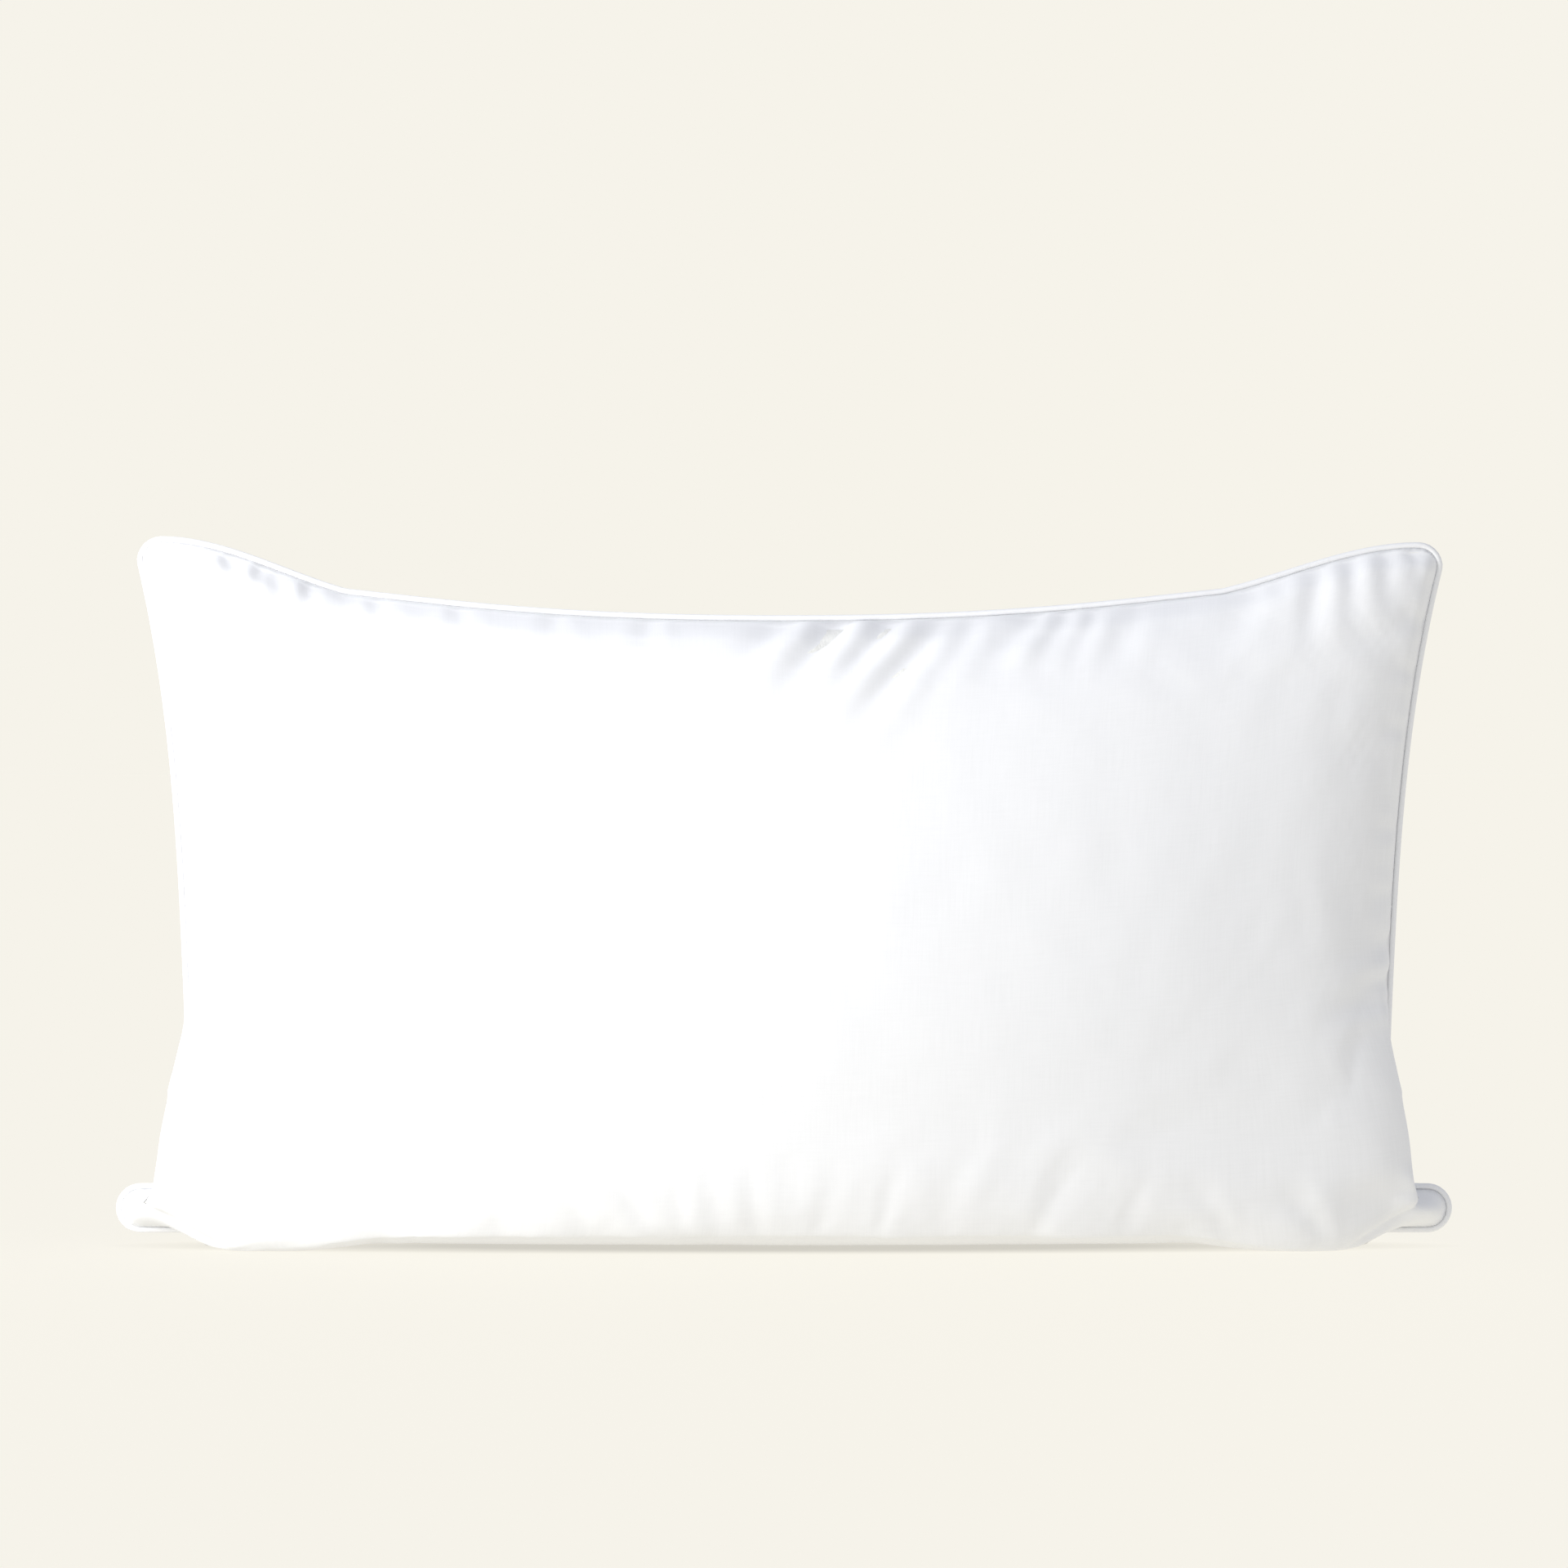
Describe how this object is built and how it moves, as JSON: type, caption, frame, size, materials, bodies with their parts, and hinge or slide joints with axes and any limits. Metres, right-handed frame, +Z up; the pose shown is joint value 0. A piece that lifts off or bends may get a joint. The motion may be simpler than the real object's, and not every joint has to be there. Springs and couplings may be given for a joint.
{
  "type": "bed pillow",
  "caption": "Soft rectangular bed pillow with pulled-out corners and a corded edge, filled with loose fibre, standing on one long side.",
  "frame": {"origin": "middle of the footprint on the surface that the pillow stands on", "axes": "+X along the pillow, -Y out of the front panel, +Z up through the top seam"},
  "size_m": [0.9012, 0.1896, 0.4777],
  "materials": {
    "cotton_cover": "satin",
    "cotton_edging": "satin",
    "filler_cord": "matte",
    "fibre_fill": "matte",
    "sewing_thread": "satin",
    "label_ribbon": "satin"
  },
  "bodies": {
    "root": {"front_panel": "cotton_cover", "back_panel": "cotton_cover", "edging_strip": "cotton_edging", "edging_cord": "filler_cord", "fibre_fill": "fibre_fill", "needle_thread": "sewing_thread", "bobbin_thread": "sewing_thread", "closing_thread": "sewing_thread", "care_label": "label_ribbon"}
  },
  "joints": []
}
